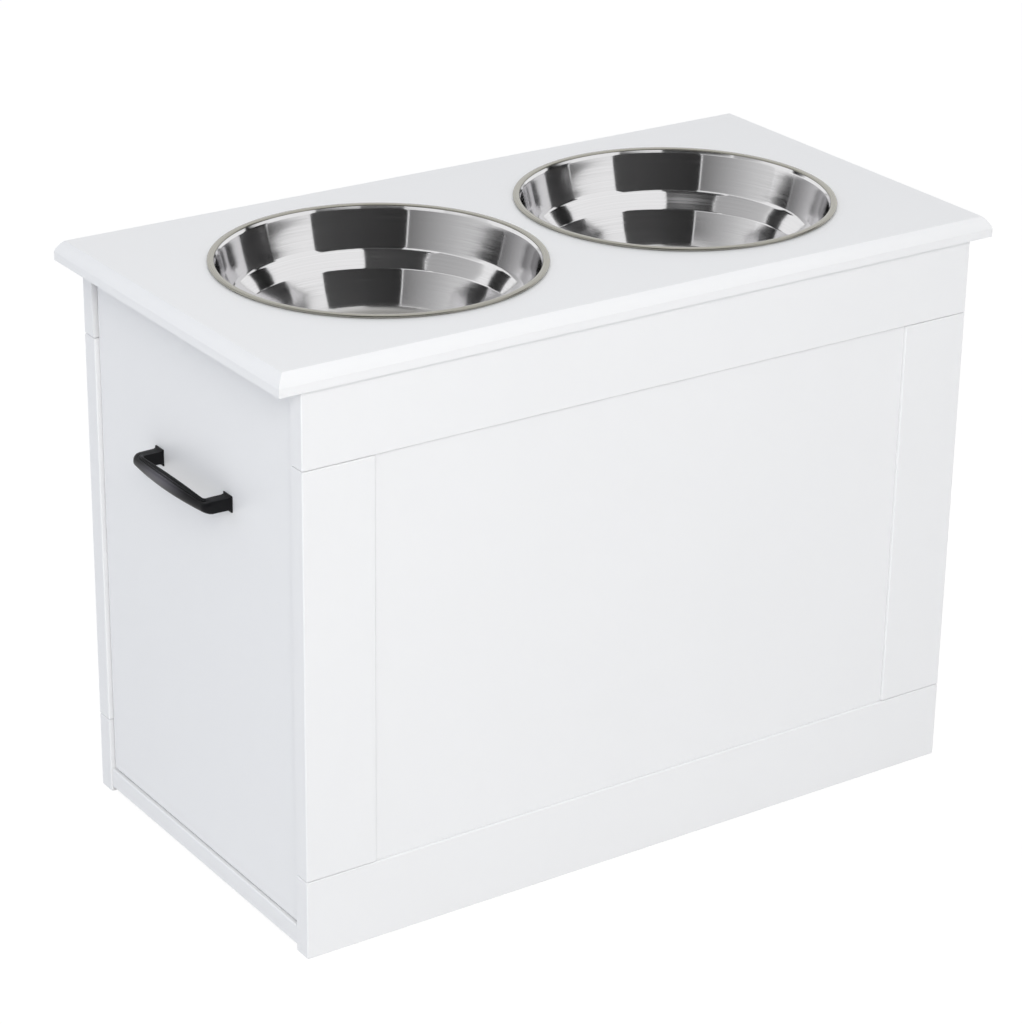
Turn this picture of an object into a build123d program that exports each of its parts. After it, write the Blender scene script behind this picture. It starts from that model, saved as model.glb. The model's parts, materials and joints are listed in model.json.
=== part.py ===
from build123d import *
import math
import os

# Elevated dog feeder with storage: a flat-pack chest of painted boards whose moulded lid
# carries two drop-in steel bowls, with a tall storage drawer that rolls out of the left end.
# Millimetres. Origin on the floor under the middle of the body, +X to the right end,
# -Y to the front, +Z up.

# ---- boards ----
body_length = 564.0          # over the ends of the front and back frames
body_depth = 302.0           # over the faces of the front and back frames
body_height = 420.0          # floor to the underside of the lid
board = 15.0                 # frames, lid, base and end boards
arris = 0.7                  # width taken off every painted edge
hairline = 0.4               # dark line left where two boards butt

top_rail_height = 56.0
bottom_rail_height = 60.0
stile_width = 56.0
panel_recess = 2.5           # frame face to panel face
panel_thickness = 6.0
groove_depth = 8.0           # grooves in rails and stiles that hold the panels
tongue = 7.0                 # how far a panel enters its groove
groove_slack = 0.1           # each side of a panel in its groove

base_lift = 4.0              # floor to the underside of the base board
base_end_set_back = 0.8      # base board short of the frame ends
end_recess = 3.0             # end board and drawer front behind the frame ends
corner_relief = 1.5          # back top rail cut back beside the drawer front

# ---- lid ----
lid_side_overhang = 18.0
lid_front_overhang = 3.0
lid_back_overhang = 7.0
lid_edge_height = 6.2        # upright part of the moulded edge
lid_mould_width = 6.0        # moulded part, measured in from the edge
lid_mould_bulge = 0.8        # how far the moulding swells off its chord
cut_out_radius = 116.0
bowl_spacing = 256.0         # between the two bowl centres

# ---- bowls ----
rim_radius = 119.0
rim_width = 6.2              # rolled and flattened rim
rim_thickness = 2.0
rim_seat_gap = 0.3           # rim over the lid
steel_wall = 0.8
upper_wall_depth = 30.0      # lid face to the shoulder
shoulder_drop = 9.0
lower_wall_drop = 31.5       # foot of the shoulder to the bowl floor
upper_wall_taper = 6.8
shoulder_width = 9.0
lower_wall_taper = 10.0
bowl_lift = 100.0            # lift that takes a bowl clear of the lid

# ---- drawer ----
drawer_gap = 1.0             # around the drawer front, sides and foot
drawer_top_gap = 2.0
drawer_board = 12.0
drawer_wall_length = 500.0
drawer_wall_height = 294.0
drawer_floor_thickness = 5.0
drawer_floor_height = 10.0   # wall foot to the underside of the drawer floor
drawer_groove_depth = 6.0
drawer_floor_tongue = 5.0
drawer_travel = 340.0

# ---- roller slides, one pair each side of the drawer ----
slide_space = 12.5           # cabinet frame to drawer wall
slide_length = 450.0
slide_front_gap = 2.0        # behind the drawer front
sheet = 1.2
slide_foot = 34.0            # floor to the underside of the cabinet channel
channel_height = 22.4
channel_flange = 10.0
bend_radius = 1.5
running_gap = 0.3            # rollers off the steel they run on
drawer_roller_radius = 9.7
drawer_roller_width = 6.2
cabinet_roller_radius = 8.5
cabinet_roller_width = 7.0
cabinet_roller_set_back = 12.0
roller_side_gap = 0.2
roller_bore_clearance = 0.05
pin_radius = 2.0
pin_head_radius = 3.2
pin_head_height = 0.6
cabinet_collar = 0.6         # collar on the rivet, between the steel and the roller
drawer_collar = 1.0
flange_gap = 0.8             # drawer flange over the cabinet channel
drawer_flange_tip = 2.0      # drawer flange stops this far from the cabinet frame
under_flange = 11.5          # flange that carries the drawer wall's foot
wall_over_slide = 2.0        # drawer wall's foot over the channel's foot
roller_cut_out = 24.0        # channel top cut away around the front roller
stop_tab_drop = 4.5
stop_gap = 0.3

# ---- handle ----
handle_height = 305.0        # floor to the handle's centre line
handle_spacing = 96.0        # between the two fixing holes
handle_reach = 20.0          # panel face to the outer face above the posts
handle_bow = 5.5             # further reach of the grip's middle
post_width = 9.0
post_height = 9.5
grip_end_thickness = 6.0
grip_middle_height = 13.0
grip_back_step = 0.8         # back strip set in from the grip's edges
grip_back_depth = 2.5
grip_edge_bevel = 2.6
corner_round = 6.0
foot_length = 11.5
foot_height = 12.5
foot_flare = 4.0

# ---- screws, cams and dowels ----
fastener_sides = 8           # flats on the small fasteners, which repeat
round_sides = 10             # flats on screw heads and cams
small_screw_radius = 1.6
small_head_radius = 3.0
small_head_height = 1.4
small_screw_length = 11.0
pilot_clearance = 0.05
sheet_hole_clearance = 0.3
handle_screw_radius = 2.0
handle_screw_depth = 9.0     # thread inside each handle post
handle_head_radius = 4.0
handle_head_height = 2.4
back_screw_radius = 2.0
back_screw_length = 38.0
back_head_radius = 4.0
back_head_height = 2.5
countersink_slope = 40.0     # degrees off the screw's axis
cam_radius = 7.5
cam_set_back = 24.0          # joint face to the cam's axis
cam_face_gap = 0.3           # cam below the board's face
cam_skin = 2.5               # board left behind a cam
driver_slot = 1.4
bolt_radius = 2.5
bolt_thread_length = 10.0
bolt_head_radius = 3.4
bolt_head_length = 4.0
bolt_bore_radius = 4.0
bore_clearance = 0.1
dowel_radius = 4.0
dowel_deep = 18.0
dowel_shallow = 10.0
blind_end = 0.5              # blind bores deeper than what goes in
lid_dowel_inset = 170.0      # insets are from the nearer end of the board that carries the joint
lid_cam_inset = 85.0
end_dowel_inset = 75.0
end_cam_inset = 105.0
base_cam_inset = 70.0
drawer_cam_inset = 60.0
back_screw_inset = 55.0
cabinet_screw_inset = 45.0
drawer_screw_inset = 36.0
past = 5.0                   # cutting shapes run this far past what they cut

# ---- places worked out from the sizes above ----
half_length = body_length / 2
half_depth = body_depth / 2
inner_half = half_depth - board
lid_top = body_height + board
base_top = base_lift + board
stile_foot = bottom_rail_height + hairline
rail_foot = body_height - top_rail_height
stile_head = rail_foot - hairline
opening_half = half_length - stile_width
lid_middle_y = (lid_back_overhang - lid_front_overhang) / 2
panel_face = half_depth - panel_recess
end_outer = half_length - end_recess
end_inner = end_outer - board
drawer_half = inner_half - slide_space
wall_foot = slide_foot + wall_over_slide
wall_inner = drawer_half - drawer_board
wall_head = wall_foot + drawer_wall_height
wall_back = drawer_wall_length - end_inner
floor_foot = wall_foot + drawer_floor_height
slide_front = -end_inner + slide_front_gap
slide_back = slide_front + slide_length
roller_axis_z = slide_foot + channel_height / 2
drawer_flange_z = slide_foot + channel_height + flange_gap
drawer_roller_x = slide_back - sheet - running_gap - drawer_roller_radius
cabinet_roller_x = slide_front + cabinet_roller_set_back
cabinet_roller_z = drawer_flange_z - running_gap - cabinet_roller_radius
cabinet_roller_start = sheet + cabinet_collar + roller_side_gap
drawer_roller_start = sheet + drawer_collar + roller_side_gap


def block(x_span, y_span, z_span):
    """A box between two limits on each axis."""
    size = [span[1] - span[0] for span in (x_span, y_span, z_span)]
    middle = [(span[1] + span[0]) / 2 for span in (x_span, y_span, z_span)]
    return Pos(*middle) * Box(*size)


def eased(piece):
    """Take off every arris of a sawn board."""
    return chamfer(piece.edges(), arris)


def rod(plane, radius, start, end):
    """A round bar along a plane's normal, from start to end."""
    return plane * Pos(0, 0, (start + end) / 2) * Cylinder(radius, end - start)


def facet_rod(plane, radius, start, end, sides=fastener_sides):
    """A bar with flats, for the many small fasteners and their bores."""
    return extrude(plane * Pos(0, 0, start) * RegularPolygon(radius, sides), end - start)


def drill(piece, bores):
    """Cut the bores that reach a piece."""
    box = piece.bounding_box()
    reaching = [bore for bore in bores if box.overlaps(bore.bounding_box())]
    return piece - reaching if reaching else piece


def ends(value):
    """The same distance to both sides of the middle."""
    return (-value, value)


# ---- fasteners: each site is a plane on a joint face whose normal runs into the second board ----
class Dowel:
    """A beech dowel across a joint, deep in the second board."""

    def __init__(self, origin, into, first_depth, second_depth):
        self.plane = Plane(origin=origin, z_dir=into)
        self.first_depth = first_depth
        self.second_depth = second_depth

    def bores(self):
        end = blind_end
        radius = dowel_radius + bore_clearance
        return [facet_rod(self.plane, radius, -self.first_depth - end, self.second_depth + end)]

    def solid(self):
        return facet_rod(self.plane, dowel_radius, -self.first_depth, self.second_depth)


class CamJoint:
    """A cam lock in the second board that pulls on a bolt screwed into the first."""

    def __init__(self, origin, into, face, thickness):
        self.plane = Plane(origin=origin, z_dir=into)
        self.depth = thickness - cam_skin
        cam_origin = Vector(*origin) + Vector(*into) * cam_set_back + Vector(*face) * (thickness / 2)
        self.cam_plane = Plane(origin=cam_origin, x_dir=into, z_dir=face)
        self.axis_depth = thickness / 2

    def bores(self):
        thread = bolt_radius + pilot_clearance
        return [
            facet_rod(self.plane, thread, -bolt_thread_length - blind_end, 0),
            facet_rod(self.plane, bolt_bore_radius, 0, cam_set_back),
            facet_rod(self.cam_plane, cam_radius + bore_clearance, -self.depth, 0, round_sides),
        ]

    def bolt(self):
        head_start = cam_set_back - bolt_head_length / 2
        stem = facet_rod(self.plane, bolt_radius, -bolt_thread_length, head_start)
        return stem + facet_rod(self.plane, bolt_head_radius, head_start, head_start + bolt_head_length)

    def cam(self):
        drum = facet_rod(self.cam_plane, cam_radius, bore_clearance - self.depth, -cam_face_gap, round_sides)
        throat_width = 2 * (bolt_head_radius + bore_clearance)
        throat_length = cam_radius + bolt_head_length
        throat = Pos(throat_length / 2 - cam_radius - bore_clearance, 0, -self.axis_depth) * Box(
            throat_length, throat_width, throat_width
        )
        slot = Pos(0, 0, -cam_face_gap) * Box(cam_radius, driver_slot, 2 * driver_slot)
        return drum - self.cam_plane * throat - self.cam_plane * slot


frame_middle = half_depth - board / 2
frame_joint_dowels = [
    Dowel((x, y, z), (0, 0, 1), dowel_deep, dowel_deep)
    for x in ends(half_length - stile_width / 2)
    for y in ends(frame_middle)
    for z in (bottom_rail_height, rail_foot)
]
lid_dowels = [
    Dowel((x, y, body_height), (0, 0, -1), dowel_shallow, dowel_deep)
    for x in ends(half_length - lid_dowel_inset)
    for y in ends(frame_middle)
]
end_board_dowels = [
    Dowel(((end_inner + end_outer) / 2, y, base_top), (0, 0, 1), dowel_shallow, dowel_deep)
    for y in ends(inner_half - end_dowel_inset)
]
cabinet_dowels = frame_joint_dowels + lid_dowels + end_board_dowels

lid_cams = [
    CamJoint((x, side * frame_middle, body_height), (0, 0, -1), (0, -side, 0), board)
    for x in ends(half_length - lid_cam_inset)
    for side in (-1, 1)
]
end_board_cams = [
    CamJoint(((end_inner + end_outer) / 2, side * inner_half, z), (0, -side, 0), (-1, 0, 0), board)
    for side in (-1, 1)
    for z in (base_top + end_cam_inset, body_height - end_cam_inset)
]
base_cams = [
    CamJoint((x, side * inner_half, base_lift + board / 2), (0, -side, 0), (0, 0, -1), board)
    for x in ends(half_length - base_cam_inset)
    for side in (-1, 1)
]
cabinet_cams = lid_cams + end_board_cams + base_cams
drawer_cams = [
    CamJoint((-end_inner, side * (drawer_half - drawer_board / 2), z), (1, 0, 0), (0, side, 0), drawer_board)
    for side in (-1, 1)
    for z in (wall_foot + drawer_cam_inset, wall_head - drawer_cam_inset)
]


def screw(plane, shank_radius, length, head_radius, head_height):
    """A screw with a flat head: the plane lies under the head, its normal out of the head."""
    shank = facet_rod(plane, shank_radius, -length, 0)
    return shank + facet_rod(plane, head_radius, 0, head_height, round_sides)


def along_slide(inset):
    """Three screws along a slide: near each end and in the middle."""
    return (slide_front + inset, (slide_front + slide_back) / 2, slide_back - inset)


cabinet_screw_planes = [
    Plane(origin=(x, side * (inner_half - sheet), roller_axis_z), z_dir=(0, -side, 0))
    for side in (-1, 1)
    for x in along_slide(cabinet_screw_inset)
]
drawer_screw_planes = [
    Plane(origin=(x, y, wall_foot - sheet), z_dir=(0, 0, -1))
    for y in ends(drawer_half - drawer_board / 2)
    for x in along_slide(drawer_screw_inset)
]
handle_screw_planes = [
    Plane(origin=(-end_inner, y, handle_height), z_dir=(1, 0, 0)) for y in ends(handle_spacing / 2)
]
back_screw_planes = [
    Plane(origin=(wall_back - drawer_board / 2, side * drawer_half, z), z_dir=(0, side, 0))
    for side in (-1, 1)
    for z in (wall_foot + back_screw_inset, wall_head - back_screw_inset)
]


def back_screw_head(plane, clearance=0.0):
    """Countersunk head, flush with the wall."""
    rim = RegularPolygon(back_head_radius + clearance, fastener_sides)
    return extrude(plane * rim, -back_head_height, taper=countersink_slope)


def pilots(planes, radius, length):
    """Blind bores for the threads of a set of screws."""
    return [facet_rod(p, radius + pilot_clearance, -length - blind_end, 0) for p in planes]


def bores_of(sites):
    return [bore for site in sites for bore in site.bores()]


cabinet_bores = bores_of(cabinet_dowels + cabinet_cams)
cabinet_bores += pilots(cabinet_screw_planes, small_screw_radius, small_screw_length)
drawer_bores = bores_of(drawer_cams)
drawer_bores += pilots(drawer_screw_planes, small_screw_radius, small_screw_length)
drawer_bores += pilots(back_screw_planes, back_screw_radius, back_screw_length)
drawer_bores += [back_screw_head(p, bore_clearance) for p in back_screw_planes]
handle_bore_radius = handle_screw_radius + bore_clearance
drawer_bores += [facet_rod(p, handle_bore_radius, -2 * board, 0) for p in handle_screw_planes]


# ---- cabinet boards ----
def rail(side, z_span, groove_at):
    """Rail of the front (side -1) or back (side 1) frame, grooved for the panel."""
    y_span = sorted((side * half_depth, side * inner_half))
    piece = eased(block(ends(half_length), y_span, z_span))
    return drill(piece - panel_groove(side, ends(opening_half + groove_depth), groove_at), cabinet_bores)


def stile(side, end):
    """Stile at the left (end -1) or right (end 1) of a frame."""
    x_span = sorted((end * half_length, end * (half_length - stile_width)))
    y_span = sorted((side * half_depth, side * inner_half))
    piece = eased(block(x_span, y_span, (stile_foot, stile_head)))
    groove_x = sorted((end * opening_half, end * (opening_half + groove_depth)))
    return drill(piece - panel_groove(side, groove_x, (stile_foot, stile_head)), cabinet_bores)


def drawer_corner_relief():
    """Room at the end of the back top rail for the upper corner of the drawer front."""
    x_span = (-half_length - past, -end_inner)
    y_span = (inner_half - past, inner_half + corner_relief)
    return block(x_span, y_span, (rail_foot - past, body_height + past))


def panel_groove(side, x_span, z_span):
    outer = panel_face + groove_slack
    inner = panel_face - panel_thickness - groove_slack
    return block(x_span, sorted((side * outer, side * inner)), z_span)


def centre_panel(side):
    """Loose panel held in the grooves of its frame."""
    outer, inner = side * panel_face, side * (panel_face - panel_thickness)
    z_span = (bottom_rail_height - groove_depth + groove_slack, rail_foot + tongue)
    return block(ends(opening_half + tongue), sorted((outer, inner)), z_span)


def base_board():
    x_half = half_length - base_end_set_back
    return drill(eased(block(ends(x_half), ends(inner_half), (base_lift, base_top))), cabinet_bores)


def end_board():
    z_span = (base_top + hairline, body_height - hairline)
    return drill(eased(block((end_inner, end_outer), ends(inner_half - hairline), z_span)), cabinet_bores)


def lid_section(low, high):
    """Outline of the lid across one direction, with the moulded edge at both ends."""
    shoulder = (board - lid_edge_height) / 2 + lid_edge_height
    bulge = lid_mould_bulge / math.sqrt(2)
    right_mid = (high - lid_mould_width / 2 + bulge, shoulder + bulge)
    left_mid = (low + lid_mould_width / 2 - bulge, shoulder + bulge)
    outline = [
        Line((low, 0), (high, 0)),
        Line((high, 0), (high, lid_edge_height)),
        ThreePointArc((high, lid_edge_height), right_mid, (high - lid_mould_width, board)),
        Line((high - lid_mould_width, board), (low + lid_mould_width, board)),
        ThreePointArc((low + lid_mould_width, board), left_mid, (low, lid_edge_height)),
        Line((low, lid_edge_height), (low, 0)),
    ]
    return make_face(Curve() + outline)


def lid_board():
    """Moulded lid: two crossed mouldings meet in mitred corners, then two bowl cut-outs."""
    x_half = half_length + lid_side_overhang
    y_low = -half_depth - lid_front_overhang
    y_high = half_depth + lid_back_overhang
    across = extrude(Plane.XZ * lid_section(-x_half, x_half), y_high + past, both=True)
    along = extrude(Plane.YZ * lid_section(y_low, y_high), x_half + past, both=True)
    lid = Pos(0, 0, body_height) * (across & along)
    for x in ends(bowl_spacing / 2):
        lid -= Pos(x, lid_middle_y, body_height) * Cylinder(cut_out_radius, 3 * board)
    return drill(lid, cabinet_bores)


# ---- bowls ----
def rolled_rim():
    """Section of the flattened roll round a bowl's rim, with bevelled sides."""
    flat = (rim_width - rim_thickness) / 2
    upper = [(-rim_width / 2, 0), (-flat, rim_thickness / 2), (flat, rim_thickness / 2)]
    return make_face(Polyline(*upper, *[(-x, -z) for x, z in upper], close=True))


def bowl(side):
    """Drop-in bowl: rolled rim, tapered wall, sloping shoulder, lower wall and flat floor."""
    rim_z = rim_seat_gap + rim_thickness / 2
    top = rim_radius - rim_width
    waist = top - upper_wall_taper
    hip = waist - shoulder_width
    floor_radius = hip - lower_wall_taper
    hip_z = -upper_wall_depth - shoulder_drop
    floor_z = hip_z - lower_wall_drop
    wall = [(top, rim_z), (waist, -upper_wall_depth), (hip, hip_z), (floor_radius, floor_z)]
    hollow = make_face(Polyline((0, rim_z), *wall, (0, floor_z), close=True))
    shell = offset(hollow, steel_wall, kind=Kind.INTERSECTION) - hollow
    keep = Pos(rim_radius / 2, rim_z - rim_radius) * Rectangle(rim_radius, 2 * rim_radius)
    shell &= keep
    half_section = Plane.XZ * (shell + Pos(rim_radius - rim_width / 2, rim_z) * rolled_rim())
    return Pos(side * bowl_spacing / 2, lid_middle_y, lid_top) * revolve(half_section, Axis.Z)


# ---- drawer ----
def drawer_front():
    y_half = inner_half - drawer_gap
    z_span = (base_top + drawer_gap, body_height - drawer_top_gap)
    piece = eased(block((-end_outer, -end_inner), ends(y_half), z_span))
    return drill(piece - drawer_floor_groove(), drawer_bores)


def drawer_floor_groove():
    """Groove that runs round the drawer's four boards."""
    x_span = (-end_inner - drawer_groove_depth, wall_back - drawer_board + drawer_groove_depth)
    y_span = ends(wall_inner + drawer_groove_depth)
    z_span = (floor_foot - groove_slack, floor_foot + drawer_floor_thickness + groove_slack)
    return block(x_span, y_span, z_span)


def drawer_wall(side):
    y_span = sorted((side * wall_inner, side * drawer_half))
    piece = eased(block((-end_inner, wall_back), y_span, (wall_foot, wall_head)))
    return drill(piece - drawer_floor_groove(), drawer_bores)


def drawer_back():
    x_span = (wall_back - drawer_board, wall_back)
    piece = eased(block(x_span, ends(wall_inner), (wall_foot, wall_head)))
    return drill(piece - drawer_floor_groove(), drawer_bores)


def drawer_floor():
    x_span = (-end_inner - drawer_floor_tongue, wall_back - drawer_board + drawer_floor_tongue)
    z_span = (floor_foot, floor_foot + drawer_floor_thickness)
    return block(x_span, ends(wall_inner + drawer_floor_tongue), z_span)


# ---- slides: made for the left side (+Y), mirrored for the right ----
def slide_profile(points, bends):
    """Sheet outline from offsets off the cabinet frame and heights, its outer bends rounded."""
    face = make_face(Polyline(*[(inner_half - off, z) for off, z in points], close=True))
    for off, z in bends:
        corner = face.vertices().sort_by_distance((inner_half - off, z, 0))[0]
        face = fillet(corner, bend_radius)
    return Plane.YZ * face


def cabinet_channel():
    """C channel on the bottom rail: the drawer's rear rollers run inside it."""
    low, high = slide_foot, slide_foot + channel_height
    points = [
        (0, low),
        (channel_flange, low),
        (channel_flange, low + sheet),
        (sheet, low + sheet),
        (sheet, high - sheet),
        (channel_flange, high - sheet),
        (channel_flange, high),
        (0, high),
    ]
    bends = [(0, low), (0, high)]
    channel = Pos(slide_front, 0, 0) * extrude(slide_profile(points, bends), slide_length)
    inside_y = (inner_half - channel_flange, inner_half - sheet)
    roller_gap_z = (high - 2 * sheet, high + sheet)
    roller_gap = block((slide_front, slide_front + roller_cut_out), inside_y, roller_gap_z)
    rear_stop = block((slide_back - sheet, slide_back), inside_y, (low + sheet / 2, high - sheet / 2))
    reach = channel_height / 2 - sheet - stop_tab_drop
    touch = math.sqrt(drawer_roller_radius**2 - reach**2)
    tab_x = drawer_roller_x - drawer_travel - touch - stop_gap
    tab_z = (high - sheet - stop_tab_drop, high - sheet / 2)
    tab = block((tab_x - sheet, tab_x), inside_y, tab_z)
    channel = channel - roller_gap + rear_stop + tab
    hole = small_screw_radius + sheet_hole_clearance
    holes = [facet_rod(p, hole, -sheet, sheet) for p in cabinet_screw_planes]
    holes.append(rod(cabinet_roller_plane(), pin_radius, 0, sheet))
    return drill(channel, holes)


def drawer_rail():
    """Z-shaped rail under the drawer wall: its top flange rides on the front roller."""
    web = slide_space - sheet
    top = drawer_flange_z + sheet
    points = [
        (web, wall_foot - sheet),
        (slide_space + under_flange, wall_foot - sheet),
        (slide_space + under_flange, wall_foot),
        (slide_space, wall_foot),
        (slide_space, top),
        (drawer_flange_tip, top),
        (drawer_flange_tip, drawer_flange_z),
        (web, drawer_flange_z),
    ]
    bends = [(web, wall_foot - sheet), (slide_space, top)]
    piece = Pos(slide_front, 0, 0) * extrude(slide_profile(points, bends), slide_length)
    hole = small_screw_radius + sheet_hole_clearance
    holes = [facet_rod(p, hole, -sheet, sheet) for p in drawer_screw_planes]
    holes.append(rod(drawer_roller_plane(), pin_radius, 0, sheet))
    return drill(piece, holes)


def cabinet_roller_plane():
    """On the rail's face at the front roller, looking into the cabinet."""
    return Plane(origin=(cabinet_roller_x, inner_half, cabinet_roller_z), z_dir=(0, -1, 0))


def drawer_roller_plane():
    """On the drawer wall at the rear roller, looking out of the drawer."""
    return Plane(origin=(drawer_roller_x, drawer_half, roller_axis_z), z_dir=(0, 1, 0))


def roller(plane, radius, start, width):
    """Nylon roller with a running bore."""
    wheel = rod(plane, radius, start, start + width)
    return wheel - rod(plane, pin_radius + roller_bore_clearance, start - past, start + width + past)


def roller_pin(plane, start, width):
    """Rivet with a collar on the sheet and a head that keeps the roller on."""
    end = start + width + roller_side_gap
    shaft = rod(plane, pin_radius, 0, end)
    collar = facet_rod(plane, pin_head_radius, sheet, start - roller_side_gap, round_sides)
    head = facet_rod(plane, pin_head_radius, end, end + pin_head_height, round_sides)
    return shaft + collar + head


def both_sides(piece):
    """A piece of the left side and its mirror image on the right."""
    return [piece, mirror(piece, about=Plane.XZ)]


# ---- handle: drawn with its foot on the local plane, Z out of the drawer front ----
handle_plane = Plane(origin=(-end_outer, 0, handle_height), x_dir=(0, 1, 0), z_dir=(-1, 0, 0))


def handle_plan(inner_reach):
    """Top view of the arch: square posts, round corners and a bowed grip."""
    half = handle_spacing / 2 + post_width / 2
    bow = ThreePointArc((-half, handle_reach), (0, handle_reach + handle_bow), (half, handle_reach))
    outline = [
        Line((half, handle_reach), (half, 0)),
        Line((half, 0), (-half, 0)),
        Line((-half, 0), (-half, handle_reach)),
    ]
    face = make_face(Curve() + [bow] + outline)
    corners = face.vertices().group_by(Axis.Y)[-1]
    face = fillet(corners, corner_round)
    window_half = handle_spacing / 2 - post_width / 2
    window = Pos(0, (inner_reach - past) / 2) * Rectangle(2 * window_half, inner_reach + past)
    window = fillet(window.vertices().group_by(Axis.Y)[-1], corner_round / 2)
    return face - window


def grip_height_outline(step):
    """Front view: the grip swells from post height to its middle height."""
    half = handle_spacing / 2 + post_width
    end_z = post_height / 2 - step
    middle_z = grip_middle_height / 2 - step
    outline = [
        ThreePointArc((-half, end_z), (0, middle_z), (half, end_z)),
        Line((half, end_z), (half, -end_z)),
        ThreePointArc((half, -end_z), (0, -middle_z), (-half, -end_z)),
        Line((-half, -end_z), (-half, end_z)),
    ]
    return make_face(Curve() + outline)


def handle_foot():
    """Square foot that flares out from a post to the drawer front."""
    narrowing = (foot_length - post_width) / 2
    lowering = (foot_height - post_height) / 2 + grip_back_step
    foot = Wedge(
        foot_length, foot_flare, foot_height, narrowing, lowering, foot_length - narrowing, foot_height - lowering
    )
    return Rot(90, 0, 0) * foot


def handle():
    """Arched pull: a stepped back strip, a swelling face with bevelled edges, two flared feet."""
    inner_reach = handle_reach - grip_end_thickness
    step = inner_reach + grip_back_depth
    outer = handle_reach + handle_bow
    arch = extrude(Plane.XZ * handle_plan(inner_reach), grip_middle_height, both=True)
    front = arch & Pos(0, 0, step) * extrude(grip_height_outline(0), outer)
    face_edges = front.faces().sort_by(Axis.Z)[-1].edges().filter_by(Axis.Y, reverse=True)
    piece = chamfer(face_edges, grip_edge_bevel) + (arch & extrude(grip_height_outline(grip_back_step), step))
    for x in ends(handle_spacing / 2):
        piece += Pos(x, 0, foot_flare / 2) * handle_foot()
    threads = pilots(handle_screw_planes, handle_screw_radius, board + handle_screw_depth)
    return drill(handle_plane * piece, threads)


def build():
    """Every node of the feeder by name."""
    nodes = {"lid_board": lid_board(), "base_board": base_board(), "end_board": end_board()}
    for name, side in (("front", -1), ("back", 1)):
        bottom_groove = (bottom_rail_height - groove_depth, bottom_rail_height)
        top_groove = (rail_foot, rail_foot + groove_depth)
        nodes[name + "_bottom_rail"] = rail(side, (0, bottom_rail_height), bottom_groove)
        nodes[name + "_top_rail"] = rail(side, (rail_foot, body_height), top_groove)
        nodes[name + "_left_stile"] = stile(side, -1)
        nodes[name + "_right_stile"] = stile(side, 1)
        nodes[name + "_panel"] = centre_panel(side)
    nodes["back_top_rail"] -= drawer_corner_relief()
    nodes["cabinet_dowels"] = [d.solid() for d in cabinet_dowels]
    nodes["cabinet_cam_locks"] = [c.cam() for c in cabinet_cams]
    nodes["cabinet_cam_bolts"] = [c.bolt() for c in cabinet_cams]
    nodes["cabinet_slide_screws"] = [
        screw(p, small_screw_radius, small_screw_length, small_head_radius, small_head_height)
        for p in cabinet_screw_planes
    ]

    nodes["drawer_front"] = drawer_front()
    nodes["drawer_left_wall"] = drawer_wall(1)
    nodes["drawer_right_wall"] = drawer_wall(-1)
    nodes["drawer_back"] = drawer_back()
    nodes["drawer_floor"] = drawer_floor()
    nodes["drawer_cam_locks"] = [c.cam() for c in drawer_cams]
    nodes["drawer_cam_bolts"] = [c.bolt() for c in drawer_cams]
    nodes["drawer_back_screws"] = [
        facet_rod(p, back_screw_radius, -back_screw_length, 0) + back_screw_head(p) for p in back_screw_planes
    ]
    nodes["drawer_slide_screws"] = [
        screw(p, small_screw_radius, small_screw_length, small_head_radius, small_head_height)
        for p in drawer_screw_planes
    ]
    nodes["handle"] = handle()
    nodes["handle_screws"] = [
        screw(p, handle_screw_radius, board + handle_screw_depth, handle_head_radius, handle_head_height)
        for p in handle_screw_planes
    ]

    pairs = {
        "cabinet_slide": cabinet_channel(),
        "drawer_slide": drawer_rail(),
        "cabinet_roller": roller(
            cabinet_roller_plane(), cabinet_roller_radius, cabinet_roller_start, cabinet_roller_width
        ),
        "drawer_roller": roller(
            drawer_roller_plane(), drawer_roller_radius, drawer_roller_start, drawer_roller_width
        ),
    }
    for name, piece in pairs.items():
        nodes[name + "_left"], nodes[name + "_right"] = both_sides(piece)
    nodes["cabinet_roller_pins"] = both_sides(
        roller_pin(cabinet_roller_plane(), cabinet_roller_start, cabinet_roller_width)
    )
    nodes["drawer_roller_pins"] = both_sides(
        roller_pin(drawer_roller_plane(), drawer_roller_start, drawer_roller_width)
    )

    nodes["bowl_left"] = bowl(-1)
    nodes["bowl_right"] = bowl(1)
    return nodes


def write(name, piece):
    solids = piece if isinstance(piece, list) else [piece]
    solids = [solid for item in solids for solid in item.solids()]
    shape = solids[0] if len(solids) == 1 else Compound(children=solids)
    shape.label = name
    export_step(shape, f"parts/{name}.step")


if __name__ == "__main__":
    os.makedirs("parts", exist_ok=True)
    for name, piece in build().items():
        write(name, piece)
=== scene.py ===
"""Dresses the elevated dog feeder: painted boards, spun bowls, a cast pull and its hardware."""

import json
import logging
import math
from dataclasses import dataclass
from enum import Enum

import bmesh
import bpy
from mathutils import Matrix, Quaternion, Vector


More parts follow.
